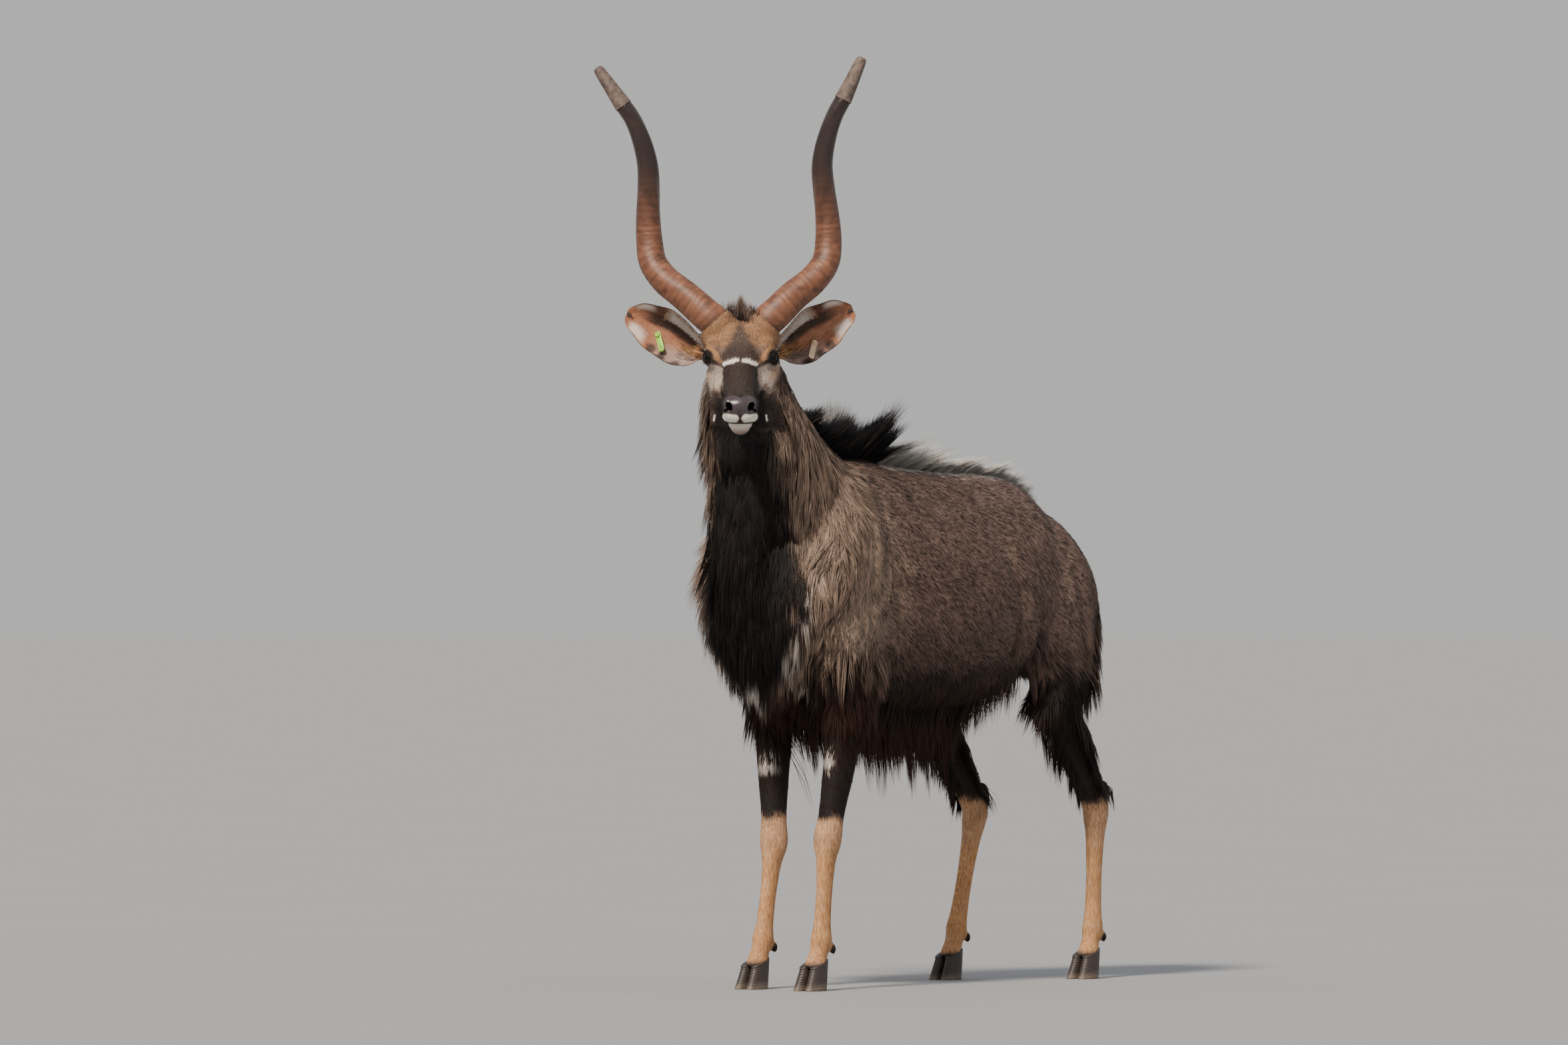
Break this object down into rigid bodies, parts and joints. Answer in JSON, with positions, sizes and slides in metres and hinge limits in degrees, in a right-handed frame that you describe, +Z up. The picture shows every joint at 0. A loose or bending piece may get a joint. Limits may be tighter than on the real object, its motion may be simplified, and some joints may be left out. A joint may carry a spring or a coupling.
{
  "type": "nyala",
  "caption": "Life-size standing nyala bull with spiral horns, capped horn tips, ear tags and a shaggy fringed coat, head turned to its left.",
  "frame": {"origin": "on the floor under the middle of the whole model's box", "axes": "+Z up, the body walks towards -Y, the animal's left side is +X"},
  "size_m": [0.4896, 1.3784, 1.9567],
  "materials": {
    "coat": "shaggy dark slate-brown hair",
    "face": "short brown hair with pale markings",
    "ear": "thin haired skin, orange inside",
    "horn": "ringed horn, smooth near the tip",
    "horn_cap": "matt mottled brown sleeve",
    "hoof": "dark worn hoof horn",
    "eye": "wet dark brown",
    "tag_green": "satin moulded plastic",
    "tag_cream": "satin moulded plastic"
  },
  "bodies": {
    "root": {"head": "face", "neck": "coat", "torso": "coat", "tail": "coat", "foreleg_left": "coat", "foreleg_right": "coat", "hindleg_left": "coat", "hindleg_right": "coat", "ear_left": "ear", "ear_right": "ear", "eye_left": "eye", "eye_right": "eye", "horn_left": "horn", "horn_right": "horn", "horn_cap_left": "horn_cap", "horn_cap_right": "horn_cap", "ear_tag_left": "tag_cream", "ear_tag_right": "tag_green", "hoof_fore_left_outer": "hoof", "hoof_fore_left_inner": "hoof", "hoof_fore_right_outer": "hoof", "hoof_fore_right_inner": "hoof", "hoof_hind_left_outer": "hoof", "hoof_hind_left_inner": "hoof", "hoof_hind_right_outer": "hoof", "hoof_hind_right_inner": "hoof"}
  },
  "joints": []
}
